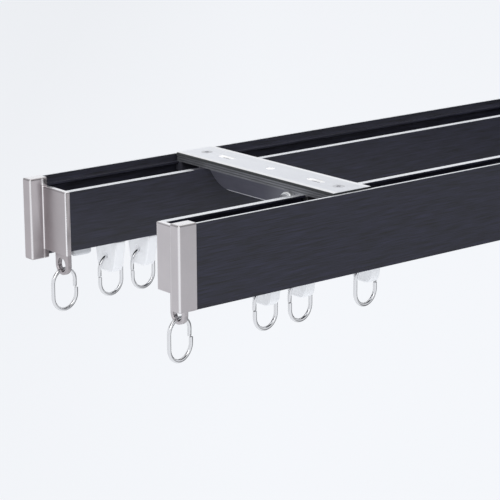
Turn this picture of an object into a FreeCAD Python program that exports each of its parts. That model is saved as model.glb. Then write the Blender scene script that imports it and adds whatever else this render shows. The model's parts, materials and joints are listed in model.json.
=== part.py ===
import FreeCAD, Part
import math
import os

from FreeCAD import Vector

# Twin ceiling track for two curtains. X runs along the tracks, Y from the front track to the rear
# one and Z up. The origin is the middle of the left bracket's top face, which lies on the ceiling.
# Everything is in millimetres.

# Overall sizes
track_length = 600.0
outer_width = 164.0
bracket_inset = 136.0

# Rail section: a tall decorative panel outside, a lower channel inside it
panel_height = 52.0
panel_thickness = 1.6
rail_depth = 34.0
channel_drop = 4.8
channel_height = 38.6
wall = 1.6
flange_width = 4.5
ledge_width = 3.4
ledge_thickness = 1.4
middle_web_height = 19.4
web_thickness = 1.4
side_box_width = 4.4
slot_width = 7.2

# End caps, each with a cast eye for the curtain's outer hook
cap_length = 12.8
cap_setback = 9.4
cap_block_depth = 8.5
cap_proud = 0.4
cap_plate_overhang = 2.9
cap_edge_radius = 1.2
plug_length = 7.4
plug_wall = 2.0
plug_clearance = 0.3
eye_thickness = 4.0
eye_width = 13.4
eye_hole_radius = 4.3
eye_edge_radius = 0.9
eye_offset = 15.6
eye_inward_shift = 0.8
eye_drop_front = 16.0
eye_drop_rear = 11.6

# Oval wire rings
ring_height = 29.0
ring_width = 20.6
wire_radius = 1.2
ring_split = 0.35
ring_rest_gap = 0.15
cap_ring_turn_front = 9.5
cap_ring_turn_rear = 5.0
glider_ring_turn = 5.0
glider_ring_gap = 0.45

# Gliders and their wheels
glider_top_width = 25.2
glider_tip_width = 17.2
glider_tip_radius = 6.0
glider_thickness = 7.4
glider_edge_radius = 0.8
glider_drop = 22.0
glider_gap = 0.8
glider_bore_radius = 2.6
glider_bore_drop = 11.2
glider_neck_length = 12.0
glider_neck_clearance = 0.3
wheel_radius = 4.4
wheel_width = 4.0
wheel_side_gap = 0.2
wheel_rim_groove = 0.4
axle_radius = 1.5
axle_head_radius = 2.1
axle_head_length = 0.6
running_clearance = 0.05

# Where the gliders stand, measured from the left end and from the right end
places_front_from_left = (80.8, 108.8, 163.2)
places_front_from_right = (170.0,)
places_rear_from_left = (52.3, 78.2, 300.0)
places_rear_from_right = (130.0,)

# End stops clipped in the slot
stop_offset = 21.0
stop_length = 13.6
stop_width = 9.0
stop_drop = 7.0
stop_head_width = 14.0
stop_head_thickness = 2.4
stop_gap = 0.3

# Ceiling bracket
plate_rise = 1.0
plate_width = 33.0
plate_thickness = 1.6
plate_end_gap = 1.2
plate_bevel = 1.4
slot_hole_step = 3.0
slot_hole_radius = 2.6
slot_hole_length = 15.0
centre_hole_radius = 2.75
screw_inset = 15.5
screw_radius = 2.0
screw_head_radius = 3.9
screw_length = 7.0
screw_clearance = 0.05
screw_recess_radius = 1.5
screw_recess_depth = 1.0

# Beam below the plate, with a fixed hook at each end
beam_inset = 0.4
beam_end_inset = 0.6
beam_flange_thickness = 1.8
beam_web_thickness = 2.5
beam_depth = 16.2
beam_wall_gap = 0.4
beam_curve_inset = 5.6
beam_curve_run = 20.0
beam_curve_sag = 3.6
beam_corner_radius = 2.0
groove_depth = 0.4
groove_height = 0.7
groove_places = (1.1, 2.7)
hook_leg = 2.6
hook_toe_thickness = 4.5
hook_clearance = 0.3
screw_boss_radius = 4.2
screw_boss_length = 3.4

# Sliding jaw and the knob whose cam locks it
jaw_side_gap = 0.4
jaw_thickness = 1.8
jaw_leg = 2.2
jaw_toe_reach = 2.7
jaw_window_width = 10.0
jaw_window_margin = 1.2
jaw_tab_width = 8.0
jaw_tab_thickness = 2.0
jaw_tab_length = 11.0
cam_radius = 4.5
cam_offset = 1.5
cam_width = 6.0
cam_gap = 0.4
spindle_radius = 2.4
spindle_boss_radius = 4.2
spindle_boss_length = 3.0
knob_radius = 6.4
knob_thickness = 4.4
knob_edge_radius = 1.6
knob_gap = 0.15
knob_wall_gap = 2.2
knob_drop = 12.0

# Levels and lines that follow from these sizes
panel_top = -plate_rise
panel_bottom = panel_top - panel_height
flange_top = panel_top - channel_drop
channel_bottom = flange_top - channel_height
slot_lip_top = channel_bottom + web_thickness
middle_web_top = channel_bottom + middle_web_height
middle_web_bottom = middle_web_top - web_thickness
channel_face = panel_thickness + side_box_width
slot_offset = (channel_face + rail_depth) / 2
left_end = -bracket_inset
right_end = track_length - bracket_inset
track_middle = (left_end + right_end) / 2
right_bracket = right_end - bracket_inset
front_face = -outer_width / 2
slot_hole_place = outer_width / 2 - rail_depth - slot_hole_step
screw_place = outer_width / 2 - screw_inset
knob_place = rail_depth + knob_wall_gap + knob_radius
ring_arc_radius = ring_width / 2 - wire_radius
ring_straight = ring_height - ring_width
plate_half_length = outer_width / 2 - panel_thickness - plate_end_gap
beam_half_width = plate_width / 2 - beam_inset
beam_half_length = plate_half_length - beam_end_inset
beam_top = -plate_thickness
beam_flange_bottom = beam_top - beam_flange_thickness

X_AXIS = Vector(1, 0, 0)
Y_AXIS = Vector(0, 1, 0)
Z_AXIS = Vector(0, 0, 1)


def box(x_span, y_span, z_span):
    """A block between the two ends of each span."""
    corner = Vector(min(x_span), min(y_span), min(z_span))
    sides = [abs(span[1] - span[0]) for span in (x_span, y_span, z_span)]
    return Part.makeBox(*sides, corner)


def rod(radius, start, end):
    """A round bar from one point to another."""
    return Part.makeCylinder(radius, (end - start).Length, start, end - start)


def fuse_all(shapes):
    """One solid from pieces that meet or overlap."""
    return shapes[0].fuse(shapes[1:]).removeSplitter()


def inward(distance):
    """Y of a line so far inside the front panel's outer face."""
    return front_face + distance


def to_rear(shape):
    """The front track's piece as its mirror image on the rear track."""
    return shape.mirror(Vector(0, 0, 0), Y_AXIS)


def to_right_end(shape):
    """The left end's piece as its mirror image at the right end."""
    return shape.mirror(Vector(track_middle, 0, 0), X_AXIS)


def turned_half(shape):
    """A bracket piece turned half way round the bracket's middle."""
    copy = shape.copy()
    copy.rotate(Vector(0, 0, 0), Z_AXIS, 180)
    return copy


def moved(shape, x):
    """A copy shifted along the tracks."""
    copy = shape.copy()
    copy.translate(Vector(x, 0, 0))
    return copy


def edges_where(shape, test):
    """The straight or curved edges whose middle passes a test."""
    return [edge for edge in shape.Edges if test(edge.CenterOfMass)]


# Rails

def rail_walls():
    """Every wall of the section as spans inward from the panel's face and up and down."""
    wall_face = rail_depth - wall
    return (
        ((0, panel_thickness), (panel_bottom, panel_top)),
        ((panel_thickness, panel_thickness + ledge_width), (flange_top - ledge_thickness, flange_top)),
        ((wall_face, rail_depth), (channel_bottom, flange_top)),
        ((rail_depth - flange_width, wall_face), (flange_top - wall, flange_top)),
        ((panel_thickness, wall_face), (middle_web_bottom, middle_web_top)),
        ((channel_face, channel_face + wall), (channel_bottom, middle_web_bottom)),
        ((panel_thickness, slot_offset - slot_width / 2), (channel_bottom, slot_lip_top)),
        ((slot_offset + slot_width / 2, wall_face), (channel_bottom, slot_lip_top)),
    )


def front_rail():
    """The extruded rail, cut to sit between the two end caps."""
    x_span = (left_end + cap_length, right_end - cap_length)
    walls = []
    for depth_span, z_span in rail_walls():
        y_span = [inward(distance) for distance in depth_span]
        walls.append(box(x_span, y_span, z_span))
    return fuse_all(walls)


# End caps

def cap_block():
    """The tall rounded block that closes the panel's end."""
    block = box(
        (left_end, left_end + cap_length),
        (inward(-cap_proud), inward(cap_block_depth)),
        (panel_bottom - cap_proud, panel_top + cap_proud),
    )
    outer = edges_where(block, lambda middle: middle.x < left_end + cap_length - cap_edge_radius)
    return block.makeFillet(cap_edge_radius, outer)


def cap_plate():
    """The thin plate that closes the channel's end."""
    plate = box(
        (left_end + cap_setback, left_end + cap_length),
        (inward(cap_block_depth - cap_edge_radius), inward(rail_depth)),
        (channel_bottom - cap_plate_overhang, flange_top),
    )
    corner = edges_where(
        plate,
        lambda middle: middle.x < left_end + cap_length - cap_edge_radius / 2
        and middle.y > inward(cap_block_depth),
    )
    return plate.makeFillet(cap_edge_radius / 2, corner)


def cap_plug():
    """Tongues that slide into the channel: a floor, two fins and an upper leaf."""
    start = left_end + cap_setback + cap_edge_radius
    x_span = (start, left_end + cap_length + plug_length)
    near = inward(channel_face + wall + plug_clearance)
    far = inward(rail_depth - wall - plug_clearance)
    floor_bottom = slot_lip_top + plug_clearance
    fin_top = middle_web_bottom - plug_clearance
    leaf_bottom = middle_web_top + plug_clearance
    floor_plate = box(x_span, (near, far), (floor_bottom, floor_bottom + plug_wall))
    near_fin = box(x_span, (near, near + plug_wall), (floor_bottom, fin_top))
    far_fin = box(x_span, (far - plug_wall, far), (floor_bottom, fin_top))
    leaf = box(x_span, (inward(cap_block_depth), far), (leaf_bottom, leaf_bottom + plug_wall))
    return [floor_plate, near_fin, far_fin, leaf]


def cap_eye(eye_drop):
    """A rounded lug below the slot with the hole that carries the ring."""
    x = left_end + eye_offset
    y = inward(slot_offset + eye_inward_shift)
    z = channel_bottom - eye_drop
    x_span = (x - eye_thickness / 2, x + eye_thickness / 2)
    half = eye_width / 2
    lug_top = channel_bottom - stop_gap
    round_end = rod(half, Vector(x_span[0], y, z), Vector(x_span[1], y, z))
    flank = box(x_span, (y - half, y + half), (z, lug_top))
    lug = fuse_all([round_end, flank])
    rim = edges_where(lug, lambda middle: middle.z < lug_top - eye_edge_radius and middle.x != x)
    rim = [edge for edge in rim if abs(edge.CenterOfMass.x - x) > eye_thickness / 4]
    lug = lug.makeFillet(eye_edge_radius, rim)
    hole = rod(eye_hole_radius, Vector(x_span[0], y, z), Vector(x_span[1], y, z))
    lug = lug.cut(hole)
    mouth = edges_where(lug, lambda middle: Vector(0, middle.y - y, middle.z - z).Length < wire_radius)
    lug = lug.makeFillet(eye_edge_radius, mouth)
    half_neck = slot_width / 2 - plug_clearance
    neck_span = (inward(slot_offset - half_neck), inward(slot_offset + half_neck))
    neck = box(x_span, neck_span, (lug_top, slot_lip_top + plug_clearance + plug_wall))
    return [lug, neck]


def end_cap(eye_drop):
    """One die-cast cap for the front track's left end."""
    return fuse_all([cap_block(), cap_plate()] + cap_plug() + cap_eye(eye_drop))


# Rings

def wire_arc(centre, direction):
    """Half a turn of wire above (1) or below (-1) the arc's centre, in the XZ plane."""
    start = centre + Vector(ring_arc_radius, 0, 0)
    section = Part.Face(Part.Wire(Part.makeCircle(wire_radius, start, Z_AXIS)))
    return section.revolve(centre, Vector(0, -direction, 0), 180)


def oval_ring(x, y, top, split_side):
    """A split oval ring whose wire's highest line is at this level; the split is left (-1) or right (1)."""
    upper = Vector(x, y, top - wire_radius - ring_arc_radius)
    lower = upper - Vector(0, 0, ring_straight)
    split_middle = (upper.z + lower.z) / 2
    pieces = [wire_arc(upper, 1), wire_arc(lower, -1)]
    whole_side = x - split_side * ring_arc_radius
    pieces.append(rod(wire_radius, Vector(whole_side, y, lower.z), Vector(whole_side, y, upper.z)))
    cut_side = x + split_side * ring_arc_radius
    for end, level in ((lower.z, split_middle - ring_split / 2), (upper.z, split_middle + ring_split / 2)):
        pieces.append(rod(wire_radius, Vector(cut_side, y, end), Vector(cut_side, y, level)))
    return fuse_all(pieces)


def cap_ring(eye_drop, split_side, turn):
    """The ring that hangs in a cap's eye, turned a little about the vertical."""
    hole_bottom = channel_bottom - eye_drop - eye_hole_radius
    top = hole_bottom + ring_rest_gap + 2 * wire_radius
    centre = Vector(left_end + eye_offset, inward(slot_offset + eye_inward_shift), top)
    ring = oval_ring(centre.x, centre.y, top, split_side)
    ring.rotate(centre, Z_AXIS, turn)
    return ring


def glider_ring(x, split_side, turn):
    """The ring that hangs in a glider's cross bore, turned a little about the vertical."""
    half = glider_thickness / 2
    sag = ring_arc_radius - math.sqrt(ring_arc_radius ** 2 - half ** 2)
    bore_bottom = channel_bottom - glider_bore_drop - glider_bore_radius
    top = bore_bottom + glider_ring_gap + sag + 2 * wire_radius
    centre = Vector(x, inward(slot_offset), top)
    ring = oval_ring(centre.x, centre.y, top, split_side)
    ring.rotate(centre, Z_AXIS, turn)
    return ring


# Gliders

def glider_skirt(x, y):
    """The tapered tongue below the rail, set across the track, with a rounded tip."""
    top = channel_bottom - glider_gap
    bottom = channel_bottom - glider_drop
    back = x - glider_thickness / 2
    points = [
        Vector(back, y - glider_top_width / 2, top),
        Vector(back, y - glider_tip_width / 2, bottom),
        Vector(back, y + glider_tip_width / 2, bottom),
        Vector(back, y + glider_top_width / 2, top),
    ]
    tongue = Part.Face(Part.makePolygon(points + points[:1])).extrude(X_AXIS * glider_thickness)
    quarter = glider_thickness / 4
    tip = edges_where(tongue, lambda middle: abs(middle.x - x) < quarter and middle.z < bottom + glider_gap)
    tongue = tongue.makeFillet(glider_tip_radius, tip)
    rim = edges_where(tongue, lambda middle: abs(middle.x - x) > quarter and middle.z < top - glider_gap)
    return tongue.makeFillet(glider_edge_radius, rim)


def glider_bore(x, y):
    """The cross bore that carries the ring."""
    centre = Vector(x, y, channel_bottom - glider_bore_drop)
    reach = X_AXIS * glider_thickness
    return rod(glider_bore_radius, centre - reach, centre + reach)


def axle_level():
    """Height of the wheels' axle, with the wheels just clear of the slot's lips."""
    return slot_lip_top + wheel_radius + running_clearance


def glider_body(x):
    """Skirt, neck through the slot and the stub axles, moulded in one piece."""
    y = inward(slot_offset)
    half_neck = slot_width / 2 - glider_neck_clearance
    x_span = (x - glider_neck_length / 2, x + glider_neck_length / 2)
    neck_top = axle_level() + axle_head_radius + wall
    neck = box(x_span, (y - half_neck, y + half_neck), (channel_bottom - glider_gap, neck_top))
    wheel_end = half_neck + wheel_side_gap * 2 + wheel_width
    head_end = wheel_end + axle_head_length
    centre = Vector(x, y, axle_level())
    axle = rod(axle_radius, centre - Y_AXIS * head_end, centre + Y_AXIS * head_end)
    heads = []
    for side in (-1, 1):
        start = centre + Y_AXIS * (side * wheel_end)
        heads.append(rod(axle_head_radius, start, centre + Y_AXIS * (side * head_end)))
    skirt = glider_skirt(x, y).cut(glider_bore(x, y))
    return fuse_all([skirt, neck, axle] + heads)


def glider_wheels(x):
    """The two wheels of one glider, one on each side of the neck."""
    y = inward(slot_offset)
    inner = slot_width / 2 - glider_neck_clearance + wheel_side_gap
    wheels = []
    for side in (-1, 1):
        start = Vector(x, y + side * inner, axle_level())
        end = start + Y_AXIS * (side * wheel_width)
        wheel = rod(wheel_radius, start, end)
        face = start + Y_AXIS * (side * (wheel_width - wheel_rim_groove))
        dish = rod(wheel_radius - wheel_rim_groove * 2, face, end)
        hub = rod(axle_head_radius, face, end)
        wheel = wheel.cut(dish.cut(hub))
        wheels.append(wheel.cut(rod(axle_radius + running_clearance, start, end)))
    return Part.makeCompound(wheels)


# End stops

def end_stop():
    """A plastic stop: a head on the lips, a neck in the slot and a rounded foot below."""
    y = inward(slot_offset)
    x_span = (left_end + stop_offset, left_end + stop_offset + stop_length)
    half_neck = slot_width / 2 - glider_neck_clearance
    head = box(
        x_span,
        (y - stop_head_width / 2, y + stop_head_width / 2),
        (slot_lip_top, slot_lip_top + stop_head_thickness),
    )
    neck = box(x_span, (y - half_neck, y + half_neck), (channel_bottom - stop_gap, slot_lip_top))
    foot = box(
        x_span,
        (y - stop_width / 2, y + stop_width / 2),
        (channel_bottom - stop_drop, channel_bottom - stop_gap),
    )
    radius = stop_width / 4
    ends = edges_where(foot, lambda middle: middle.z < channel_bottom - stop_drop + stop_gap)
    foot = foot.makeFillet(radius, ends)
    return fuse_all([head, neck, foot])


# Bracket plate and screws

def slot_cutter(y, radius, length, z_span):
    """A slotted hole along Y."""
    reach = length / 2 - radius
    cutter = box((-radius, radius), (y - reach, y + reach), z_span)
    ends = [
        rod(radius, Vector(0, y + side * reach, z_span[0]), Vector(0, y + side * reach, z_span[1]))
        for side in (-1, 1)
    ]
    return fuse_all([cutter] + ends)


def screw_head(y, radius, depth):
    """The countersunk cone of a plate screw or of its seat."""
    return Part.makeCone(
        radius - depth, radius, depth, Vector(0, y, -depth), Z_AXIS
    )


def bracket_plate():
    """The flat ceiling plate: bevelled sides, two slots, a middle hole and two countersunk seats."""
    z_span = (-plate_thickness, 0)
    half = plate_width / 2
    plate = box((-half, half), (-plate_half_length, plate_half_length), z_span)
    long_edges = edges_where(plate, lambda middle: middle.z == 0 and abs(middle.x) == half)
    plate = plate.makeChamfer(plate_bevel, long_edges)
    holes = [rod(centre_hole_radius, Vector(0, 0, -plate_thickness), Vector(0, 0, 0))]
    for side in (-1, 1):
        holes.append(slot_cutter(side * slot_hole_place, slot_hole_radius, slot_hole_length, z_span))
        seat = screw_head(side * screw_place, screw_head_radius + screw_clearance, plate_thickness)
        holes.append(seat)
        y = side * screw_place
        shank = rod(screw_radius + screw_clearance, Vector(0, y, -plate_thickness), Vector(0, y, 0))
        holes.append(shank)
    return plate.cut(holes)


def bracket_screws():
    """The two identical countersunk screws that hold the plate to the beam."""
    screws = []
    for side in (-1, 1):
        y = side * screw_place
        head = screw_head(y, screw_head_radius, plate_thickness)
        shank = rod(screw_radius, Vector(0, y, -screw_length), Vector(0, y, 0))
        recess = rod(screw_recess_radius, Vector(0, y, -screw_recess_depth), Vector(0, y, 0))
        screws.append(head.fuse(shank).cut(recess).removeSplitter())
    return Part.makeCompound(screws)


# Bracket beam

def beam_web():
    """The left side web: shallow over the rails and deep between them, with a long curve at the rear."""
    x = -beam_half_width
    near = inward(rail_depth + beam_wall_gap)
    curve_end = -inward(rail_depth + beam_curve_inset)
    curve_start = curve_end - beam_curve_run
    bottom = -beam_depth

    def at(y, z):
        return Vector(x, y, z)

    middle = at(
        (curve_start + curve_end) / 2 + beam_curve_sag / 2,
        (bottom + flange_top) / 2 - beam_curve_sag / 2,
    )
    corner = beam_corner_radius
    corner_middle = corner * (1 - math.sqrt(0.5))
    edges = [
        Part.makeLine(at(-beam_half_length, beam_top), at(beam_half_length, beam_top)),
        Part.makeLine(at(beam_half_length, beam_top), at(beam_half_length, flange_top)),
        Part.makeLine(at(beam_half_length, flange_top), at(curve_end, flange_top)),
        Part.Arc(at(curve_end, flange_top), middle, at(curve_start, bottom)).toShape(),
        Part.makeLine(at(curve_start, bottom), at(near + corner, bottom)),
        Part.Arc(
            at(near + corner, bottom),
            at(near + corner_middle, bottom + corner_middle),
            at(near, bottom + corner),
        ).toShape(),
        Part.makeLine(at(near, bottom + corner), at(near, flange_top)),
        Part.makeLine(at(near, flange_top), at(-beam_half_length, flange_top)),
        Part.makeLine(at(-beam_half_length, flange_top), at(-beam_half_length, beam_top)),
    ]
    web = Part.Face(Part.Wire(edges)).extrude(Vector(beam_web_thickness, 0, 0))
    y = inward(knob_place)
    boss = rod(
        spindle_boss_radius,
        Vector(x + beam_web_thickness, y, -knob_drop),
        Vector(x + beam_web_thickness + spindle_boss_length, y, -knob_drop),
    )
    hole = rod(
        spindle_radius + running_clearance,
        Vector(x, y, -knob_drop),
        Vector(x + beam_web_thickness + spindle_boss_length, y, -knob_drop),
    )
    return fuse_all([web, boss]).cut(hole)


def fixed_hook():
    """The cast hook whose toe reaches under the front panel's ledge."""
    leg_near = inward(panel_thickness + ledge_width + hook_clearance)
    toe_near = inward(panel_thickness + hook_clearance * 2)
    toe_top = flange_top - ledge_thickness - hook_clearance
    toe_bottom = toe_top - hook_toe_thickness
    x_span = (-beam_half_width, beam_half_width)
    leg = box(x_span, (leg_near, leg_near + hook_leg), (toe_bottom, beam_flange_bottom))
    toe = box(x_span, (toe_near, leg_near + hook_leg), (toe_bottom, toe_top))
    return fuse_all([leg, toe])


def screw_boss():
    """The boss under the beam's top that takes the plate screw."""
    y = -screw_place
    top = Vector(0, y, beam_flange_bottom)
    return rod(screw_boss_radius, top - Z_AXIS * screw_boss_length, top)


def bracket_beam():
    """The beam: a top flange, two side webs, two fixed hooks and two screw bosses."""
    z_span = (beam_flange_bottom, beam_top)
    half = beam_half_width
    top = box((-half, half), (-beam_half_length, beam_half_length), z_span)
    one_side = [beam_web(), fixed_hook(), screw_boss()]
    other_side = [turned_half(piece) for piece in one_side]
    groove_z = [(beam_top - place - groove_height, beam_top - place) for place in groove_places]
    grooves = []
    for side in (-1, 1):
        for span in groove_z:
            x_span = (side * half, side * (half - groove_depth))
            grooves.append(box(x_span, (-beam_half_length, beam_half_length), span))
    holes = [rod(centre_hole_radius, Vector(0, 0, beam_flange_bottom), Vector(0, 0, beam_top))]
    for side in (-1, 1):
        holes.append(slot_cutter(side * slot_hole_place, slot_hole_radius, slot_hole_length, z_span))
        y = side * screw_place
        hole_radius = screw_radius + screw_clearance
        holes.append(rod(hole_radius, Vector(0, y, -beam_depth), Vector(0, y, beam_top)))
    return fuse_all([top] + one_side + other_side).cut(grooves + holes)


# Jaw and knob

def front_jaw():
    """The sliding jaw that hooks under the front rail's flange."""
    top = beam_flange_bottom - hook_clearance
    leaf_bottom = flange_top + hook_clearance
    leg_far = inward(rail_depth - flange_width - hook_clearance * 2)
    leg_near = leg_far - jaw_leg
    tab_near = inward(knob_place + cam_offset + cam_radius + cam_gap)
    toe_top = flange_top - wall - hook_clearance
    toe_bottom = toe_top - jaw_thickness
    low_top = flange_top - hook_clearance
    half = beam_half_width - beam_web_thickness - jaw_side_gap
    low_half = beam_half_width - jaw_side_gap
    between_webs = (-half, half)
    full_width = (-low_half, low_half)
    narrow = (-jaw_tab_width / 2, jaw_tab_width / 2)
    leaf = box(between_webs, (leg_near, tab_near + jaw_tab_thickness), (leaf_bottom, top))
    leg = box(between_webs, (leg_near, leg_far), (toe_bottom, top))
    low_leg = box(full_width, (leg_near, leg_far), (toe_bottom, low_top))
    toe = box(full_width, (leg_near, leg_far + jaw_toe_reach), (toe_bottom, toe_top))
    tab = box(narrow, (tab_near, tab_near + jaw_tab_thickness), (top - jaw_tab_length, top))
    window_span = (leg_far + jaw_window_margin, tab_near - jaw_window_margin)
    window = box((-jaw_window_width / 2, jaw_window_width / 2), window_span, (leaf_bottom, top))
    return fuse_all([leaf, leg, low_leg, toe, tab]).cut(window)


def front_knob():
    """Knob, spindle and eccentric cam, turned as one piece."""
    y = inward(knob_place)
    outer = -beam_half_width - knob_gap
    centre = Vector(outer, y, -knob_drop)
    knob = rod(knob_radius, centre - X_AXIS * knob_thickness, centre)
    rim = edges_where(knob, lambda middle: middle.x < outer - knob_thickness + running_clearance)
    knob = knob.makeFillet(knob_edge_radius, rim)
    spindle = rod(spindle_radius, centre, Vector(cam_width / 2, y, -knob_drop))
    cam_centre = Vector(-cam_width / 2, y + cam_offset, -knob_drop)
    cam = rod(cam_radius, cam_centre, cam_centre + X_AXIS * cam_width)
    return fuse_all([knob, spindle, cam])


def track_nodes():
    """Rails, caps, rings and stops of both tracks."""
    nodes = {"front_rail": front_rail()}
    nodes["rear_rail"] = to_rear(nodes["front_rail"])
    front_cap = end_cap(eye_drop_front)
    rear_cap = to_rear(end_cap(eye_drop_rear))
    front_ring = cap_ring(eye_drop_front, 1, cap_ring_turn_front)
    rear_ring = to_rear(cap_ring(eye_drop_rear, 1, -cap_ring_turn_rear))
    stop = end_stop()
    left = {
        "end_cap_front": front_cap,
        "end_cap_rear": rear_cap,
        "cap_ring_front": front_ring,
        "cap_ring_rear": rear_ring,
        "end_stop_front": stop,
        "end_stop_rear": to_rear(stop),
    }
    for name, shape in left.items():
        nodes[name + "_left"] = shape
        nodes[name + "_right"] = to_right_end(shape)
    return nodes


def glider_line(from_left, from_right):
    """X of every glider on one track, in order along it."""
    return [left_end + place for place in from_left] + [right_end - place for place in from_right]


def glider_nodes():
    """Body, wheels and ring of every glider on both tracks."""
    nodes = {}
    for number, x in enumerate(glider_line(places_front_from_left, places_front_from_right), 1):
        split_side = 1 if number == 3 else -1
        nodes[f"glider_front_{number}"] = glider_body(x)
        nodes[f"wheels_front_{number}"] = glider_wheels(x)
        nodes[f"ring_front_{number}"] = glider_ring(x, split_side, glider_ring_turn)
    for number, x in enumerate(glider_line(places_rear_from_left, places_rear_from_right), 1):
        nodes[f"glider_rear_{number}"] = to_rear(glider_body(x))
        nodes[f"wheels_rear_{number}"] = to_rear(glider_wheels(x))
        nodes[f"ring_rear_{number}"] = to_rear(glider_ring(x, -1, -glider_ring_turn))
    return nodes


def bracket_nodes():
    """The seven pieces of each of the two brackets."""
    pieces = {
        "plate": bracket_plate(),
        "screws": bracket_screws(),
        "beam": bracket_beam(),
        "jaw_front": front_jaw(),
        "jaw_rear": turned_half(front_jaw()),
        "knob_front": front_knob(),
        "knob_rear": turned_half(front_knob()),
    }
    nodes = {}
    for side, x in (("left", 0.0), ("right", right_bracket)):
        for name, shape in pieces.items():
            nodes[f"bracket_{side}_{name}"] = moved(shape, x)
    return nodes


def main():
    """Writes every piece to its own file."""
    os.makedirs("parts", exist_ok=True)
    nodes = {}
    nodes.update(track_nodes())
    nodes.update(glider_nodes())
    nodes.update(bracket_nodes())
    for name, shape in nodes.items():
        shape.exportStep(f"parts/{name}.step")
        print(name, "solids", len(shape.Solids), "valid", shape.isValid(), "volume", round(shape.Volume, 1))


main()
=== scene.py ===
import json
import math

import bmesh
import bpy
import numpy as np
from bpy.props import FloatProperty, FloatVectorProperty, IntProperty, PointerProperty
from mathutils import Matrix, Vector

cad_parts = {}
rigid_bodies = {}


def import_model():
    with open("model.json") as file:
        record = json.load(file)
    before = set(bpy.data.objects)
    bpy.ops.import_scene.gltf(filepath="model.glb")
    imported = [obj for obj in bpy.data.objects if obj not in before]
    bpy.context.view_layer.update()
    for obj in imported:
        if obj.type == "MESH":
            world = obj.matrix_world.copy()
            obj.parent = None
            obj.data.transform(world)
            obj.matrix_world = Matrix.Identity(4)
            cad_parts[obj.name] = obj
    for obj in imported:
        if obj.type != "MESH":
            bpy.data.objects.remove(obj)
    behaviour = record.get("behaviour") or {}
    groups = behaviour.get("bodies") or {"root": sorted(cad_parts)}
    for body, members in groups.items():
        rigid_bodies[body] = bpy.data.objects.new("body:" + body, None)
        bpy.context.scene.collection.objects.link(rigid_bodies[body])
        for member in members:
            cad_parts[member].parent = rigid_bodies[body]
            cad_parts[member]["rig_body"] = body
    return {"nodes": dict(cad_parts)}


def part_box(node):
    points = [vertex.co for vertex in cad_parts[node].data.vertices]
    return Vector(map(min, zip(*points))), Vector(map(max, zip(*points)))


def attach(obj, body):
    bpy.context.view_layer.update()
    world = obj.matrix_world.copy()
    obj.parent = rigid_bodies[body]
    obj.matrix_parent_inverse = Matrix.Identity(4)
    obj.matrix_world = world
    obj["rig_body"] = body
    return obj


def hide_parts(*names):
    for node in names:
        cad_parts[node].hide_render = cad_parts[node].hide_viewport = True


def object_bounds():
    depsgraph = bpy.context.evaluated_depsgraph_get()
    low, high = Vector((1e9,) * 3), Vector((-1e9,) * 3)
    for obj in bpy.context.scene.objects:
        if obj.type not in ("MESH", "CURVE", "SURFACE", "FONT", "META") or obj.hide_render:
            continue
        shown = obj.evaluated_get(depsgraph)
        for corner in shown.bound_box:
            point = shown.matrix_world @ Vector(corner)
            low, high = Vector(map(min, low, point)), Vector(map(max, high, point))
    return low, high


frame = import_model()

bl_info = {
    "name": "Twin curtain track",
    "version": (1, 0, 0),
    "blender": (4, 5, 0),
    "location": "View3D > Sidebar > Curtain track",
    "description": "Finishes the rails, caps, gliders, rings and brackets of a twin curtain track",
    "category": "Object",
}

MM = 0.001
CAD_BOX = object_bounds()

# The track as the CAD has it. The left bracket stands at x = 0, so the track's middle is also as far
# from each bracket as it is from x = 0. Half the width is taken over the panels.
MIDDLE = (CAD_BOX[0][0] + CAD_BOX[1][0]) / 2
HALF_LENGTH = (CAD_BOX[1][0] - CAD_BOX[0][0]) / 2
HALF_WIDTH = 82.0 * MM
BRACKET_REACH = MIDDLE

# Below, a pair of lengths is a range: heights under the ceiling, or distances from a middle or a face.
# Rails: bare metal above this height on the panel, and on the inner flange between these heights and
# distances from the track's middle line. Painted shade of the bracket keeps the rear flange black so
# far past each bracket.
PANEL_BARE = -1.16 * MM
FLANGE_HEIGHTS = (-5.95 * MM, -5.2 * MM)
FLANGE_OFFSETS = (47.9 * MM, 53.0 * MM)
BRACKET_SHADE_STRETCH = (14.0 * MM, 25.0 * MM)
# Painted light makes the rear rail paler up to the first x, and it is black from the second
PALE_REACH = (0.0, 0.45)

# Caps. Upright edges with painted highlights: distance in from the end, distance in from the panel's
# face, and reach
CAP_EDGES = (
    (0.0, -0.4 * MM, 1.25 * MM),
    (0.0, 8.5 * MM, 1.25 * MM),
    (9.4 * MM, 8.5 * MM, 0.8 * MM),
    (9.4 * MM, 34.0 * MM, 0.9 * MM),
)
# Painted highlights on the tops of the block and of the plate beside it, and a painted line of shade
# below each
BLOCK_TOP = (-0.75 * MM, -0.62 * MM)
BLOCK_LINE = (-1.7 * MM, -1.1 * MM)
CAP_PLATE_TOP = (-6.1 * MM, -5.6 * MM)
CAP_PLATE_LINE = (-6.7 * MM, -6.2 * MM)
# The plate lies deeper than this from the panel's face, and its top further in than this from the end
CAP_PLATE_DEPTH = 9.5 * MM
CAP_PLATE_INSET = 9.9 * MM
# The cap's face towards the middle line lies beyond this depth and this far in from the end
INNER_FACE_DEPTH = 33.7 * MM
INNER_FACE_INSET = 10.0 * MM

# Ceiling plate: its margin of painted highlight and its bevelled side, by the distance from the
# bracket's middle; its ends, by the distance from the track's middle line; and the height where sides
# and holes begin
PLATE_MARGIN = (11.3 * MM, 11.8 * MM)
PLATE_SIDE = (12.0 * MM, 13.0 * MM)
PLATE_END = (78.6 * MM, 78.9 * MM)
PLATE_LOW = (-0.28 * MM, -0.1 * MM)

# Beam: the height where the webs begin, how far the ridges reach from the bracket's middle, inside
# which the grooves get painted shade, the painted highlight on the foot of the webs, and the stretch of
# y over which the webs darken from front to rear
WEB_TOP = (-6.3 * MM, -5.6 * MM)
RIDGE_REACH = (15.6 * MM, 15.9 * MM)
WEB_FOOT = (-15.95 * MM, -15.75 * MM)
WEB_FRONT = (-52.0 * MM, -12.0 * MM)

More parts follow.
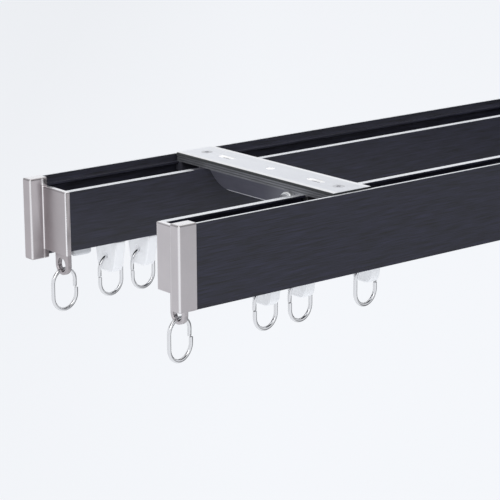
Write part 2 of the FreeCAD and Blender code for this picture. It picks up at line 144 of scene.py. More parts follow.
# Noise: rates per metre along x, y and z, and of the clouds that are the same on every axis
STREAK_RATES = (55.0, 1900.0, 1900.0)
BAND_RATES = (30.0, 60.0, 700.0)
SATIN_RATES = (900.0, 900.0, 900.0)
CAST_RATES = (1500.0, 1500.0, 1500.0)
BEAM_RATES = (1200.0, 90.0, 1200.0)
SATIN_CLOUDS = 60.0
PLATE_CLOUDS = 45.0
BEAM_CLOUDS = 80.0
NYLON_CLOUDS = 120.0
CHROME_HAZE = 900.0
NYLON_PEEL = 2600.0
# Depths of the bumps
STREAK_DEPTH = 0.02 * MM
GRAIN_DEPTH = 0.01 * MM
PEEL_DEPTH = 0.004 * MM

WHITE = (1.0, 1.0, 1.0)
BLACK = (0.0, 0.0, 0.0)
# Painted line of shade below the tops of the caps
PAINTED_SHADE_LINE = (0.12, 0.115, 0.12)
# Painted shade in the beam's grooves
GROOVE_SHADE_COLOUR = (0.02, 0.021, 0.022)
# Painted highlight on the foot of the beam's webs
FOOT_HIGHLIGHT_COLOUR = (0.8, 0.8, 0.84)
# What painted light raises the paler rear rail's black by
PAINTED_LIGHT_LIFT = 0.012
# Painted glow of the ceiling plate's slot and hole walls
PAINTED_SLOT_GLOW = 0.4

# How far each ring is turned about the vertical, in degrees, and the rings split on the right
RING_TURNS = {
    "cap_ring_front_left": 9.5,
    "cap_ring_rear_left": 5.0,
    "cap_ring_front_right": -9.5,
    "cap_ring_rear_right": -5.0,
}
GLIDER_RING_TURN = 5.0
SPLIT_RIGHT = ("cap_ring_front_left", "cap_ring_rear_left", "ring_front_3")
# A glider's ring is skewed less than a cap's
GLIDER_RING_SKEW = 0.3
# Where a ring's ends have leaned back to its plane, as a share of half its wire; its top is at 0.5
LEAN_REACH = 0.42
# Points that round each cut end of the wire
END_STEPS = 5

# Copies of CAD nodes: points nearer than this are merged, triangles within this angle in degrees are
# one flat face, and a rounded edge has this many faces
MERGE_DISTANCE = 1e-6
FLAT_ANGLE = 0.3
EDGE_FACES = 2


# Properties

def length(name, text, default):
    """A length in metres that a user may change."""
    return FloatProperty(
        name=name, description=text, default=default, min=0.0, unit="LENGTH", precision=5
    )


def colour(name, text, default):
    """A linear colour that a user may change."""
    return FloatVectorProperty(
        name=name, description=text, default=default, min=0.0, max=1.0, size=3, subtype="COLOR"
    )


def count(name, text, default):
    """A number of faces that a user may change."""
    return IntProperty(name=name, description=text, default=default, min=8)


class TrackSizes(bpy.types.PropertyGroup):
    """Sizes of the pieces that are made here."""

    ring: length("Ring width", "Outer width of an oval ring", 20.6 * MM)
    wire: length("Ring wire", "Radius of the rings' wire", 1.2 * MM)
    skew: length("Ring skew", "How far a ring's cut ends stand to either side of its plane", 0.8 * MM)
    split: length("Ring split", "Gap where the ends of a ring's wire meet", 0.35 * MM)
    wire_end: length("Wire end rounding", "Rounding of the cut ends of the wire", 0.25 * MM)
    arc_steps: count("Arc steps", "Faces along half a ring", 28)
    wire_steps: count("Wire steps", "Faces round the wire", 16)
    rail_edge: length("Rail edge", "Rounding of the extrusion's edges", 0.15 * MM)
    plate_edge: length("Plate edge", "Rounding of the stamped plate's edges", 0.25 * MM)
    beam_edge: length("Beam edge", "Rounding of the beam's edges", 0.2 * MM)
    moulded_edge: length("Moulded edge", "Rounding of the plastic pieces' edges", 0.3 * MM)


class TrackFinishes(bpy.types.PropertyGroup):
    """Colours of the finishes."""

    anodised: colour("Black anodising", "Brushed black of the rails", (0.0102, 0.0103, 0.0215))
    cut_edge: colour("Cut edge", "Bare aluminium on the rails' top edges", (0.86, 0.87, 0.89))
    nickel: colour("Satin nickel", "Cast caps", (0.535, 0.505, 0.515))
    # Painted highlight of the caps' upright edges and tops
    painted_highlight: colour("Polished edge", "Bright edges and tops of the caps", (0.98, 0.96, 0.96))
    plate: colour("Plate", "Satin zinc of the ceiling plate", (0.84, 0.85, 0.88))
    plate_side: colour("Plate side", "Dark bevelled sides of the ceiling plate", (0.045, 0.048, 0.05))
    beam: colour("Beam", "Grey anodising of the bracket's beam", (0.27, 0.275, 0.295))
    web: colour("Web", "Darker side webs below the beam's ridges", (0.12, 0.12, 0.152))
    steel: colour("Steel", "Zinc-plated jaws and screws", (0.62, 0.62, 0.64))
    knob: colour("Knob", "Satin nickel of the knobs", (0.72, 0.73, 0.74))
    chrome: colour("Chrome", "Bright wire rings", (0.80, 0.80, 0.81))
    nylon: colour("Nylon", "White gliders", (0.72, 0.73, 0.75))
    backdrop: colour("Backdrop", "Pale studio floor and wall", (0.895, 0.912, 0.945))


# Shader expressions

class Field:
    """A number, colour, vector or shader in a node tree, with arithmetic that adds nodes."""

    def __init__(self, nodes, socket):
        self.nodes = nodes
        self.socket = socket

    def _math(self, operation, *terms):
        return self.nodes.field("ShaderNodeMath", {"operation": operation}, dict(enumerate(terms)))

    def __add__(self, other):
        return self._math("ADD", self, other)

    def __radd__(self, other):
        return self._math("ADD", other, self)

    def __sub__(self, other):
        return self._math("SUBTRACT", self, other)

    def __rsub__(self, other):
        return self._math("SUBTRACT", other, self)

    def __mul__(self, other):
        return self._math("MULTIPLY", self, other)

    def __gt__(self, other):
        return self._math("GREATER_THAN", self, other)

    def __lt__(self, other):
        return self._math("LESS_THAN", self, other)

    def __or__(self, other):
        return self._math("MAXIMUM", self, other)

    def __abs__(self):
        return self._math("ABSOLUTE", self)

    def within(self, low, high):
        """1 between two values and 0 elsewhere."""
        return (self > low) * (self < high)


class Nodes:
    """A node tree that expressions add their nodes to."""

    def __init__(self, tree):
        self.tree = tree
        self.tree.nodes.clear()

    def node(self, kind, settings=None, values=None):
        """Adds one node: its settings first, then the values or links of its sockets."""
        made = self.tree.nodes.new(kind)
        for key, value in (settings or {}).items():
            setattr(made, key, value)
        for key, value in (values or {}).items():
            self.feed(made.inputs[key], value)
        return made

    def field(self, kind, settings=None, values=None, output=0):
        """One output of an added node."""
        return Field(self, self.node(kind, settings, values).outputs[output])

    def feed(self, socket, value):
        """Links a field to a socket, or sets its value."""
        if isinstance(value, Field):
            self.tree.links.new(value.socket, socket)
        elif hasattr(value, "__len__") and socket.type == "RGBA":
            socket.default_value = (*value, 1.0)
        else:
            socket.default_value = value

    def axes(self, point):
        """The three numbers of a point."""
        made = self.node("ShaderNodeSeparateXYZ", None, {0: point})
        return [Field(self, socket) for socket in made.outputs]

    def rays(self, *kinds):
        """Whether a ray is a camera, glossy or transmission ray, as one field for each kind."""
        path = self.node("ShaderNodeLightPath").outputs
        return [Field(self, path[f"Is {kind} Ray"]) for kind in kinds]

    def ramp(self, field, low, high, start=0.0, end=1.0):
        """A field stretched from one range to another and held at its ends."""
        values = {"Value": field, "From Min": low, "From Max": high, "To Min": start, "To Max": end}
        return self.field("ShaderNodeMapRange", {"clamp": True}, values)

    def held(self, field):
        """A field held between 0 and 1."""
        return self.ramp(field, 0.0, 1.0)

    def below(self, field, low, high):
        """1 below a range and 0 above it."""
        return self.ramp(field, low, high, 1.0, 0.0)

    def between(self, mask, first, second):
        """A number between two by a mask."""
        return self.ramp(mask, 0.0, 1.0, first, second)

    def mixed_shader(self, mask, first, second):
        """A shader between two by a mask."""
        return self.field("ShaderNodeMixShader", None, {0: mask, 1: first, 2: second})


class Shade(Nodes):
    """One material and the nodes that feed its surface."""

    def __init__(self, name):
        self.material = bpy.data.materials.new(name)
        self.material.use_nodes = True
        super().__init__(self.material.node_tree)
        self.output = self.node("ShaderNodeOutputMaterial")

    def place(self):
        """The point on the surface in the object's own metres."""
        return self.field("ShaderNodeTexCoord", output="Object")

    def noise(self, point, scale=1.0, detail=2.0, roughness=0.5):
        """Smooth noise from 0 to 1."""
        values = {"Vector": point, "Scale": scale, "Detail": detail, "Roughness": roughness}
        return self.field("ShaderNodeTexNoise", None, values, "Fac")

    def stretched_noise(self, point, rates, detail=3.0, roughness=0.6):
        """Noise at its own rate on each axis."""
        values = {0: point, 1: rates}
        squeezed = self.field("ShaderNodeVectorMath", {"operation": "MULTIPLY"}, values)
        return self.noise(squeezed, 1.0, detail, roughness)

    def grained(self, rates, cloud_rate, fine_share):
        """Fine grain, and a tone from 0 to 1 that adds slow cloudy variation to it."""
        point = self.place()
        fine = self.stretched_noise(point, rates)
        cloud = self.noise(point, cloud_rate)
        return fine, self.ramp(fine * fine_share + cloud * (1.0 - fine_share), 0.3, 0.7)

    def mixed(self, mask, first, second):
        """A colour between two by a mask."""
        return self.field("ShaderNodeMix", {"data_type": "RGBA"}, {0: mask, 6: first, 7: second}, 2)

    def bump(self, height, strength, distance):
        """A normal tilted by a height field, in metres."""
        values = {"Height": height, "Strength": strength, "Distance": distance}
        return self.field("ShaderNodeBump", None, values)

    def show(self, surface):
        """Sends a shader to the material's surface."""
        self.feed(self.output.inputs["Surface"], surface)
        return self.material

    def finish(self, **sockets):
        """A Principled surface with its sockets, named with underscores for spaces."""
        values = {key.replace("_", " "): value for key, value in sockets.items()}
        return self.show(self.field("ShaderNodeBsdfPrincipled", None, values))


def scaled(base, factor):
    """A colour multiplied by a factor and held at 1."""
    return tuple(min(1.0, c * factor) for c in base)


# Finishes

def anodised_rail(name, finishes):
    """Brushed black anodising, with bare bright metal on the top edges.

    The brushing is noise stretched 35 to 1 along the rail, with broader bands under it. The bare mask
    is 1 on the panel's top edge and on the top of the inner flange, but for a stretch of the rear
    flange past each bracket, which painted shade of the bracket keeps black. Painted light makes the
    rear rail a little paler towards its left end.
    """
    shade = Shade(name)
    point = shade.place()
    x, y, z = shade.axes(point)
    fine = shade.stretched_noise(point, STREAK_RATES, 3.0, 0.65)
    broad = shade.stretched_noise(point, BAND_RATES, 2.0, 0.5)
    streak = shade.ramp(fine * 0.75 + broad * 0.25, 0.36, 0.68)
    rear = y > 0.0
    flange = z.within(*FLANGE_HEIGHTS) * abs(y).within(*FLANGE_OFFSETS)
    # Painted shade of the bracket: no bare line on a stretch of the rear flange past each bracket
    bracket_shade = rear * (abs(x - MIDDLE) - BRACKET_REACH).within(*BRACKET_SHADE_STRETCH)
    bare = shade.held((z > PANEL_BARE) + flange * (1.0 - bracket_shade))
    deep, light = scaled(finishes.anodised, 0.2), scaled(finishes.anodised, 2.4)
    black = shade.mixed(streak, deep, light)
    # Painted light: a paler copy of the black for the rear rail's left end
    paler = shade.mixed(streak, [c + PAINTED_LIGHT_LIFT for c in deep], [c + PAINTED_LIGHT_LIFT for c in light])
    dark = shade.mixed(rear * shade.below(x, *PALE_REACH), black, paler)
    return shade.finish(
        Base_Color=shade.mixed(bare, dark, tuple(finishes.cut_edge)),
        Metallic=bare * 0.9,
        Roughness=0.34 + streak * 0.2 - bare * 0.14,
        Normal=shade.bump(streak, strength=0.35, distance=STREAK_DEPTH),
    )


def satin_metal(name, base, roughness):
    """Satin plated metal: fine even grain in its colour and gloss, and slow cloudy variation."""
    shade = Shade(name)
    fine, tone = shade.grained(SATIN_RATES, SATIN_CLOUDS, fine_share=0.5)
    return shade.finish(
        Base_Color=shade.mixed(tone, scaled(base, 0.95), scaled(base, 1.05)),
        Metallic=1.0,
        Roughness=shade.between(tone, roughness - 0.05, roughness + 0.06),
        Normal=shade.bump(fine, strength=0.15, distance=GRAIN_DEPTH),
    )


def cast_nickel(name, base, painted_highlight):
    """Satin nickel on a casting, with a painted highlight along each upright edge.

    With e the distance in from the track's end and u the distance in from the panel's face, the painted
    highlight on an upright edge at (e0, u0) shows where |e - e0| + |u - u0| is small. The tops of the
    block and of the plate carry painted highlights as well, and a painted line of shade runs below
    each. The rear caps are painted a little darker, as painted shade, and warmer in tint.
    """
    shade = Shade(name)
    x, y, z = shade.axes(shade.place())
    inset = HALF_LENGTH - abs(x - MIDDLE)
    depth = HALF_WIDTH - abs(y)
    on_plate = depth > CAP_PLATE_DEPTH
    # Painted highlights: the block's top, the plate's top and the upright edges
    bright = shade.ramp(z, *BLOCK_TOP) * 0.85
    bright += z.within(*CAP_PLATE_TOP) * on_plate * (inset > CAP_PLATE_INSET)
    for e0, u0, reach in CAP_EDGES:
        bright += shade.below(abs(inset - e0) + abs(depth - u0), reach * 0.45, reach)
    bright = shade.held(bright)
    fine, tone = shade.grained(CAST_RATES, SATIN_CLOUDS, fine_share=0.4)
    # Painted shade: the rear caps take a darker, warmer copy of the satin than the front ones
    warm = (base[0] * 0.9, base[1] * 0.88, base[2] * 0.88)
    lit_front_satin = shade.mixed(tone, scaled(base, 1.02), scaled(base, 1.16))
    shaded_rear_satin = shade.mixed(tone, scaled(warm, 0.94), scaled(warm, 1.07))
    satin = shade.mixed(y > 0.0, lit_front_satin, shaded_rear_satin)
    # Painted shade: a dark line below each top
    line = z.within(*BLOCK_LINE) + z.within(*CAP_PLATE_LINE) * on_plate
    lined = shade.mixed(shade.held(line) * 0.5, satin, PAINTED_SHADE_LINE)
    inner_face = (depth > INNER_FACE_DEPTH) * (inset > INNER_FACE_INSET)
    return shade.finish(
        Base_Color=shade.mixed(bright, lined, tuple(painted_highlight)),
        Metallic=1.0 - inner_face * 0.5,
        Roughness=0.31 + tone * 0.1 - bright * 0.17,
        Normal=shade.bump(fine, strength=0.12, distance=GRAIN_DEPTH),
    )


def zinc_plate(name, base, side):
    """Satin zinc on top, with a painted highlight along its margins, and dark on the bevelled sides and
    ends.

    Painted light lightens the top from the front to the rear. The walls of the slots and holes are
    painted white as painted light, with a faint painted glow for the light that they pass on to each
    other.
    """
    shade = Shade(name)
    x, y, z = shade.axes(shade.place())
    fine, tone = shade.grained(SATIN_RATES, PLATE_CLOUDS, fine_share=0.5)
    from_bracket = abs(abs(x - MIDDLE) - BRACKET_REACH)
    rim = shade.held(shade.ramp(from_bracket, *PLATE_SIDE) + shade.ramp(abs(y), *PLATE_END))
    low = shade.below(z, *PLATE_LOW)
    dark = rim * low
    # Painted light: the walls of slots and holes are painted white and glow
    painted_lit_walls = (1.0 - rim) * low
    # Painted light: the top lightens from front to rear; the random tone picks a duller or brighter
    # copy
    rearward = shade.ramp(y, -HALF_WIDTH, HALF_WIDTH)
    dull_tone_painted_light = shade.mixed(rearward, scaled(base, 0.94), scaled(base, 1.09))
    bright_tone_painted_light = shade.mixed(rearward, scaled(base, 1.02), scaled(base, 1.15))
    # Painted highlight along the plate's margin
    margin_highlight = shade.ramp(from_bracket, *PLATE_MARGIN) * (1.0 - dark)
    lit = shade.mixed(shade.held(margin_highlight * 0.8 + painted_lit_walls), shade.mixed(tone, dull_tone_painted_light, bright_tone_painted_light), WHITE)
    return shade.finish(
        Base_Color=shade.mixed(dark, lit, tuple(side)),
        Metallic=1.0 - dark * 0.3 - painted_lit_walls,
        Roughness=shade.between(tone, 0.36, 0.47),
        Normal=shade.bump(fine, strength=0.12, distance=GRAIN_DEPTH),
        Emission_Color=shade.mixed(painted_lit_walls, BLACK, WHITE),
        Emission_Strength=PAINTED_SLOT_GLOW,
    )


def ridged_beam(name, base, web):
    """Grey anodising on the beam's ridges, painted shade in the grooves between them, and dark on the
    webs below.

    The webs take the ridges' grey towards the front, and their foot is a thin painted highlight.
    """
    shade = Shade(name)
    x, y, z = shade.axes(shade.place())
    fine, tone = shade.grained(BEAM_RATES, BEAM_CLOUDS, fine_share=0.6)
    low = shade.below(z, *WEB_TOP)
    from_bracket = abs(abs(x - MIDDLE) - BRACKET_REACH)
    # Painted shade in the grooves between the ridges
    groove_shade = shade.below(from_bracket, *RIDGE_REACH) * (1.0 - low)
    ridge = shade.mixed(tone, scaled(base, 0.85), scaled(base, 1.15))
    plain_web = shade.mixed(tone, scaled(web, 0.9), scaled(web, 1.1))
    lower = shade.mixed(shade.below(y, *WEB_FRONT), plain_web, tuple(base))
    # Painted highlight along the foot of the webs
    foot_highlighted = shade.mixed(shade.below(z, *WEB_FOOT), lower, FOOT_HIGHLIGHT_COLOUR)
    return shade.finish(
        Base_Color=shade.mixed(groove_shade * 0.6, shade.mixed(low, ridge, foot_highlighted), GROOVE_SHADE_COLOUR),
        Metallic=0.55,
        Roughness=shade.between(tone, 0.40, 0.52),
        Normal=shade.bump(fine, strength=0.15, distance=GRAIN_DEPTH),
    )


def chrome_wire(name, base):
    """Bright chrome with the faintest polishing haze."""
    shade = Shade(name)
    haze = shade.noise(shade.place(), CHROME_HAZE)
    return shade.finish(
        Base_Color=shade.mixed(haze, scaled(base, 0.97), tuple(base)),
        Metallic=1.0,
        Roughness=shade.ramp(haze, 0.3, 0.7, 0.07, 0.13),
    )


def moulded_nylon(name, base, roughness=0.38, glow=0.0):
    """White nylon with a soft orange-peel; a faint glow stands for the light that it passes on."""
    shade = Shade(name)
    point = shade.place()
    cloud = shade.noise(point, NYLON_CLOUDS)
    peel = shade.noise(point, NYLON_PEEL)
    return shade.finish(
        Base_Color=shade.mixed(cloud, scaled(base, 0.95), tuple(base)),
        Roughness=shade.ramp(peel, 0.3, 0.7, roughness - 0.05, roughness + 0.08),
        Normal=shade.bump(peel, strength=0.05, distance=PEEL_DEPTH),
        Emission_Color=tuple(base),
        Emission_Strength=glow,
    )


# Meshes

def new_piece(name, points, faces, material, body):
    """A smooth mesh object made of points and faces, riding on a body."""
    mesh = bpy.data.meshes.new(name)
    mesh.from_pydata(points.tolist(), [], faces)
    mesh.update()
    mesh.shade_smooth()
    mesh.materials.append(material)
    piece = bpy.data.objects.new(name, mesh)
    bpy.context.scene.collection.objects.link(piece)
    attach(piece, body)
    return piece


def tube_faces(rings, around):
    """Quads between successive rings of a tube, and a fan of triangles at each closed end."""
    start = np.arange(rings - 1)[:, None] * around
    step = np.arange(around)
    after = (step + 1) % around
    corners = [start + step, start + after, start + around + after, start + around + step]
    quads = np.stack(corners, -1).reshape(-1, 4)
    last = (rings - 1) * around
    first_pole = np.full(around, rings * around)
    first_fan = np.stack([first_pole, after, step], -1)
    last_fan = np.stack([first_pole + 1, last + step, last + after], -1)
    fans = np.stack([first_fan, last_fan], 1).reshape(-1, 3)
    return quads.tolist() + fans.tolist()


def oval_wire(sizes, height, side, skew):
    """Points of a split oval ring of wire, centred on the origin in the XZ plane.

    The centre line is two half circles of radius width/2 - wire joined by straight sides. It starts
    and ends at the split, half way up one side. Round the wire the section is a circle that shrinks
    by 1 - sin at each end, which rounds the cut. The upper end stands behind the ring's plane by the
    skew and the lower one before it, and the wire runs back to the plane as 1 + cos before the middle
    of the top or bottom arc, which stay flat where they hang.
    """
    wire, split, end = sizes.wire, sizes.split, sizes.wire_end
    radius = sizes.ring / 2 - wire
    straight = height / 2 - sizes.ring / 2
    turn = np.linspace(0.0, math.pi, sizes.arc_steps + 1)
    cosine, sine = np.cos(turn), np.sin(turn)
    top = np.stack([cosine * radius, straight + sine * radius], -1)
    bottom = np.stack([-cosine * radius, -straight - sine * radius], -1)
    rounding = np.linspace(0.0, math.pi / 2, END_STEPS)
    cut_wire = wire - end * (1 - np.sin(rounding))
    lift = end * (1 - np.cos(rounding))
    beside = np.full(END_STEPS, radius)
    begin = np.stack([beside, split / 2 + lift], -1)
    close = np.stack([beside, -split / 2 - lift[::-1]], -1)
    centre = np.concatenate([begin, top, bottom, close])
    scale = np.concatenate([cut_wire, np.full(2 * len(turn), wire), cut_wire[::-1]])
    upward = np.stack([np.zeros(END_STEPS), np.ones(END_STEPS)], -1)
    along_top = np.stack([-sine, cosine], -1)
    along = np.concatenate([upward, along_top, -along_top, upward])
    across = np.stack([along[:, 1], -along[:, 0]], -1)
    angle = np.arange(sizes.wire_steps) * 2 * math.pi / sizes.wire_steps
    flat = centre[:, None, :] + across[:, None, :] * (scale[:, None] * np.cos(angle))[:, :, None]
    way = np.linspace(0.0, 2.0, len(centre))
    lean = skew * 0.5 * (1 + np.cos(np.clip(way / LEAN_REACH, 0, 1) * math.pi))
    lean -= skew * 0.5 * (1 + np.cos(np.clip((2 - way) / LEAN_REACH, 0, 1) * math.pi))
    depth = lean[:, None] + scale[:, None] * np.sin(angle)
    points = np.stack([flat[:, :, 0] * side, depth, flat[:, :, 1]], -1).reshape(-1, 3)
    poles = np.array([[radius * side, skew, split / 2], [radius * side, -skew, -split / 2]])
    return np.concatenate([points, poles]), len(centre)


def turned(points, degrees):
    """Points turned about the vertical: x' = x cos a - y sin a, y' = x sin a + y cos a."""
    angle = math.radians(degrees)
    cosine, sine = math.cos(angle), math.sin(angle)
    turn = np.array([[cosine, sine, 0.0], [-sine, cosine, 0.0], [0.0, 0.0, 1.0]])
    return points @ turn


def refined(node, material, edge=0.0, angle=30.0):
    """A merged copy of a CAD node, in its place, with smooth curves and finely rounded edges.

    An edge is one whose faces differ by more than the angle, in degrees.
    """
    source = frame["nodes"][node]
    name = "finished_" + node
    mesh = source.data.copy()
    mesh.name = name
    work = bmesh.new()
    work.from_mesh(mesh)
    bmesh.ops.remove_doubles(work, verts=work.verts, dist=MERGE_DISTANCE)
    bmesh.ops.dissolve_limit(
        work,
        angle_limit=math.radians(FLAT_ANGLE),
        verts=work.verts,
        edges=work.edges,
        delimit={"NORMAL"},
    )
    work.to_mesh(mesh)
    work.free()
    mesh.materials.clear()
    mesh.materials.append(material)
    mesh.shade_smooth()
    mesh.set_sharp_from_angle(angle=math.radians(angle))
    piece = bpy.data.objects.new(name, mesh)
    bpy.context.scene.collection.objects.link(piece)
    if edge > 0.0:
        bevel = piece.modifiers.new("edges", "BEVEL")
        bevel.width = edge
        bevel.segments = EDGE_FACES
        bevel.limit_method = "ANGLE"
        bevel.angle_limit = math.radians(angle)
        bevel.harden_normals = True
        bevel.use_clamp_overlap = True
        bevel.miter_outer = "MITER_ARC"
    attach(piece, source["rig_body"])
    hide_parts(node)


def nodes_named(*starts):
    """The CAD nodes whose names start with one of these words."""
    return [name for name in sorted(frame["nodes"]) if name.startswith(starts)]


# Operators

class TRACK_OT_rails(bpy.types.Operator):
    """Brushes and edges both rails."""

    bl_idname = "track.rails"
    bl_label = "Rails"

    def execute(self, context):
        scene = context.scene
        material = anodised_rail("brushed_black_anodising", scene.track_finishes)
        for node in nodes_named("front_rail", "rear_rail"):
            refined(node, material, scene.track_sizes.rail_edge)
        return {"FINISHED"}


class TRACK_OT_caps(bpy.types.Operator):
    """Finishes the cast end caps and the plastic end stops."""

    bl_idname = "track.caps"
    bl_label = "End caps"

    def execute(self, context):
        finishes = context.scene.track_finishes
        nickel = cast_nickel("satin_nickel_casting", finishes.nickel, finishes.painted_highlight)
        for node in nodes_named("end_cap"):
            refined(node, nickel, angle=25.0)
        nylon = moulded_nylon("stop_nylon", scaled(finishes.nylon, 1.05), roughness=0.45, glow=0.08)
        for node in nodes_named("end_stop"):
            refined(node, nylon, context.scene.track_sizes.moulded_edge)
        return {"FINISHED"}


class TRACK_OT_rings(bpy.types.Operator):
    """Bends every oval ring out of chrome wire."""

    bl_idname = "track.rings"
    bl_label = "Rings"

    def execute(self, context):
        sizes = context.scene.track_sizes
        chrome = chrome_wire("bright_chrome_wire", context.scene.track_finishes.chrome)
        for node in nodes_named("cap_ring", "ring"):
            low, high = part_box(node)
            side = 1 if node in SPLIT_RIGHT else -1
            skew = sizes.skew if node in RING_TURNS else sizes.skew * GLIDER_RING_SKEW
            points, rings = oval_wire(sizes, high.z - low.z, side, skew)
            points = turned(points, RING_TURNS.get(node, GLIDER_RING_TURN)) + np.array((low + high) / 2)
            faces = tube_faces(rings, sizes.wire_steps)
            if side < 0:
                faces = [face[::-1] for face in faces]
            piece = new_piece("wire_" + node, points, faces, chrome, node)
            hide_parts(node)
        return {"FINISHED"}


class TRACK_OT_gliders(bpy.types.Operator):
    """Finishes the gliders and their wheels."""

    bl_idname = "track.gliders"
    bl_label = "Gliders"

    def execute(self, context):
        finishes = context.scene.track_finishes
        nylon = moulded_nylon("glider_nylon", finishes.nylon, glow=0.4)
        for node in nodes_named("glider"):
            refined(node, nylon, angle=35.0)
        acetal = moulded_nylon("wheel_acetal", scaled(finishes.nylon, 1.1), roughness=0.3)
        for node in nodes_named("wheels"):
            refined(node, acetal, angle=35.0)
        return {"FINISHED"}


class TRACK_OT_brackets(bpy.types.Operator):
    """Finishes the plates, beams, screws, jaws and knobs of both brackets."""

    bl_idname = "track.brackets"
    bl_label = "Brackets"

    def execute(self, context):
        sizes = context.scene.track_sizes
        finishes = context.scene.track_finishes
        plate = zinc_plate("satin_zinc_plate", finishes.plate, finishes.plate_side)
        beam = ridged_beam("grey_anodised_beam", finishes.beam, finishes.web)
        zinc = satin_metal("zinc_plated_steel", finishes.steel, roughness=0.32)
        nickel = satin_metal("satin_nickel_knob", finishes.knob, roughness=0.30)
        for side in ("left", "right"):
            start = f"bracket_{side}_"
            refined(start + "plate", plate, sizes.plate_edge)
            refined(start + "beam", beam, sizes.beam_edge)
            refined(start + "screws", zinc)
            for track in ("front", "rear"):
                refined(start + "jaw_" + track, zinc, sizes.beam_edge)
                refined(start + "knob_" + track, nickel)
        return {"FINISHED"}


# Stage

# Floor: half its side, its height, and the share of it that the lamps light, which keeps the shadow
FLOOR_HALF = 12.0
FLOOR_LEVEL = -0.45
FLOOR_SHADOW = 0.1
# In reflections the floor fades to the right, down to a share of its tone, and behind the track:
# ranges of x, x and y, and how much of its tone it loses there
FAR_RIGHT = (0.9, 1.9)
FAR_SIDE = 0.3
BEHIND_X = (0.1, 0.4)
BEHIND_Y = (-0.9, -0.4)
BEHIND_LOSS = 0.95
# Painted light lightens its tone across the view, along this direction in x and y, over this range
ACROSS = (0.778, -0.628)
ACROSS_RANGE = (-0.45, 0.0)
# The ceiling's share of the tone in reflections, and the upward part of a reflected ray's direction
# between which it comes in. The world as light has its own colour and strength.
CEILING_TONE = 0.15
CEILING_CLIMB = (0.45, 0.58)
WORLD_LIGHT = (0.95, 0.97, 1.0)
WORLD_STRENGTH = 0.55
# Lamps: place, side of the square and power in watts; all point at the target
LAMP_TARGET = (0.1, 0.0, -0.03)
LAMPS = {
    "key_lamp": ((-1.2, -1.4, 2.0), 2.4, 34.0),
    "top_lamp": ((0.4, 0.6, 2.2), 3.2, 26.0),
}
# Camera: focal length and width of the photograph in its pixels, place, and turns in degrees
FOCAL_PIXELS = 1994.34
PHOTO_PIXELS = 500.0
SENSOR = 36.0
CAMERA_PLACE = (-798.93 * MM, -968.96 * MM, 277.74 * MM)
CAMERA_AZIMUTH = -38.902
CAMERA_ELEVATION = 14.814
CAMERA_ROLL = -0.240


def stage_material(name, tone, shadow):
    """A pale surface that the camera sees at its own colour, and that keeps a soft shadow.

    Camera, glossy and transmission rays see mostly emission; from behind it is clear. In reflections
    the floor falls off to the right and behind the track, away from the lamps. Across the floor a
    painted light lightens its tone a little from left to right.
    """
    shade = Shade(name)
    camera, glossy, transmission = shade.rays("Camera", "Glossy", "Transmission")
    x, y = shade.axes(shade.place())[:2]
    right = shade.ramp(x, *FAR_RIGHT) * (1.0 - FAR_SIDE)
    behind_track = shade.ramp(x, *BEHIND_X) * shade.ramp(y, *BEHIND_Y) * BEHIND_LOSS
    fall = shade.held(right + behind_track) * glossy
    across = shade.ramp(x * ACROSS[0] + y * ACROSS[1], *ACROSS_RANGE)
    paper = shade.mixed(across, scaled(tone, 0.985), scaled(tone, 1.03))
    matt = shade.field("ShaderNodeBsdfDiffuse", None, {"Color": paper})
    glow = shade.field("ShaderNodeEmission", None, {"Color": shade.mixed(fall, paper, BLACK)})
    front = shade.mixed_shader((camera | glossy | transmission) * (1.0 - shadow), matt, glow)
    from_behind = shade.field("ShaderNodeNewGeometry", output="Backfacing")
    clear = shade.field("ShaderNodeBsdfTransparent")
    return shade.show(shade.mixed_shader(from_behind, front, clear))


def area_lamp(name, place, size, power):
    """A square soft lamp that points at the target."""
    data = bpy.data.lights.new(name, "AREA")
    data.shape = "SQUARE"
    data.size = size
    data.energy = power
    lamp = bpy.data.objects.new(name, data)
    lamp.location = place
    lamp.rotation_euler = (Vector(LAMP_TARGET) - Vector(place)).to_track_quat("-Z", "Y").to_euler()
    bpy.context.scene.collection.objects.link(lamp)


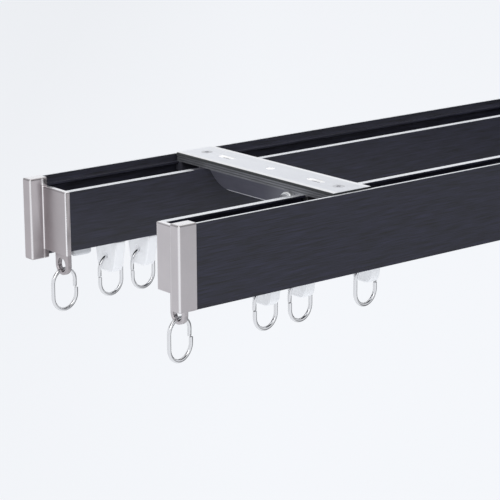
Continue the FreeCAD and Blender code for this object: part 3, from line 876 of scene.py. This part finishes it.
class TRACK_OT_stage(bpy.types.Operator):
    """Sets the pale floor, the world, the lamps and the camera."""

    bl_idname = "track.stage"
    bl_label = "Stage"

    def execute(self, context):
        scene = context.scene
        tone = tuple(scene.track_finishes.backdrop)
        self.floor(tone)
        self.world(tone)
        for name, settings in LAMPS.items():
            area_lamp(name, *settings)
        self.camera(scene)
        scene.view_settings.view_transform = "Standard"
        return {"FINISHED"}

    def floor(self, tone):
        """A wide flat square below the track."""
        signs = ((-1, -1), (1, -1), (1, 1), (-1, 1))
        corners = [(x * FLOOR_HALF, y * FLOOR_HALF, FLOOR_LEVEL) for x, y in signs]
        mesh = bpy.data.meshes.new("studio_floor")
        mesh.from_pydata(corners, [], [(0, 1, 2, 3)])
        mesh.materials.append(stage_material("pale_floor", tone, FLOOR_SHADOW))
        floor = bpy.data.objects.new("studio_floor", mesh)
        bpy.context.scene.collection.objects.link(floor)

    def world(self, tone):
        """A pale world, dimmer as light than as it is seen, and dark high up where gloss mirrors it.

        Reflected rays that climb more steeply than about 27 degrees meet the dark of the studio's
        ceiling, which draws the dark lines of bright metal.
        """
        world = bpy.data.worlds.new("studio")
        world.use_nodes = True
        nodes = Nodes(world.node_tree)
        camera, glossy = nodes.rays("Camera", "Glossy")
        climb = nodes.axes(nodes.field("ShaderNodeTexCoord", output="Generated"))[2]
        high_up = nodes.ramp(climb, *CEILING_CLIMB) * glossy
        kind = "ShaderNodeBackground"
        light = nodes.field(kind, None, {"Color": WORLD_LIGHT, "Strength": WORLD_STRENGTH})
        wall = nodes.field(kind, None, {"Color": tone})
        ceiling = nodes.field(kind, None, {"Color": scaled(tone, CEILING_TONE)})
        seen = nodes.mixed_shader(high_up, wall, ceiling)
        output = nodes.node("ShaderNodeOutputWorld")
        nodes.feed(output.inputs["Surface"], nodes.mixed_shader(camera | glossy, light, seen))
        bpy.context.scene.world = world

    def camera(self, scene):
        """The photograph's camera, turned by azimuth, elevation and roll."""
        azimuth, elevation, roll = map(math.radians, (CAMERA_AZIMUTH, CAMERA_ELEVATION, CAMERA_ROLL))
        back = Vector((
            math.sin(azimuth) * math.cos(elevation),
            -math.cos(azimuth) * math.cos(elevation),
            math.sin(elevation),
        ))
        right = (-back).cross(Vector((0.0, 0.0, 1.0))).normalized()
        up = right.cross(-back)
        across = right * math.cos(roll) + up * math.sin(roll)
        upward = up * math.cos(roll) - right * math.sin(roll)
        data = bpy.data.cameras.new("photo_camera")
        data.sensor_width = SENSOR
        data.lens = FOCAL_PIXELS / PHOTO_PIXELS * SENSOR
        data.clip_start, data.clip_end = 0.05, 60.0
        camera = bpy.data.objects.new("photo_camera", data)
        turn = Matrix((across, upward, back)).transposed().to_4x4()
        camera.matrix_world = Matrix.Translation(CAMERA_PLACE) @ turn
        scene.collection.objects.link(camera)
        scene.camera = camera


class TRACK_PT_panel(bpy.types.Panel):
    """Lists the steps and the values that can be changed."""

    bl_idname = "TRACK_PT_panel"
    bl_label = "Curtain track"
    bl_space_type = "VIEW_3D"
    bl_region_type = "UI"
    bl_category = "Curtain track"

    def draw(self, context):
        layout = self.layout
        for step in STEPS:
            layout.operator(step.bl_idname)
        for group in (context.scene.track_sizes, context.scene.track_finishes):
            for key in group.bl_rna.properties.keys():
                if key not in ("rna_type", "name"):
                    layout.prop(group, key)


STEPS = (
    TRACK_OT_rails,
    TRACK_OT_caps,
    TRACK_OT_rings,
    TRACK_OT_gliders,
    TRACK_OT_brackets,
    TRACK_OT_stage,
)
CLASSES = (TrackSizes, TrackFinishes) + STEPS + (TRACK_PT_panel,)


def register():
    for cls in CLASSES:
        bpy.utils.register_class(cls)
    bpy.types.Scene.track_sizes = PointerProperty(type=TrackSizes)
    bpy.types.Scene.track_finishes = PointerProperty(type=TrackFinishes)


def unregister():
    del bpy.types.Scene.track_finishes
    del bpy.types.Scene.track_sizes
    for cls in reversed(CLASSES):
        bpy.utils.unregister_class(cls)


def main():
    """Makes everything."""
    register()
    for step in STEPS:
        group, name = step.bl_idname.split(".")
        getattr(getattr(bpy.ops, group), name)()


if __name__ == "__main__":
    main()
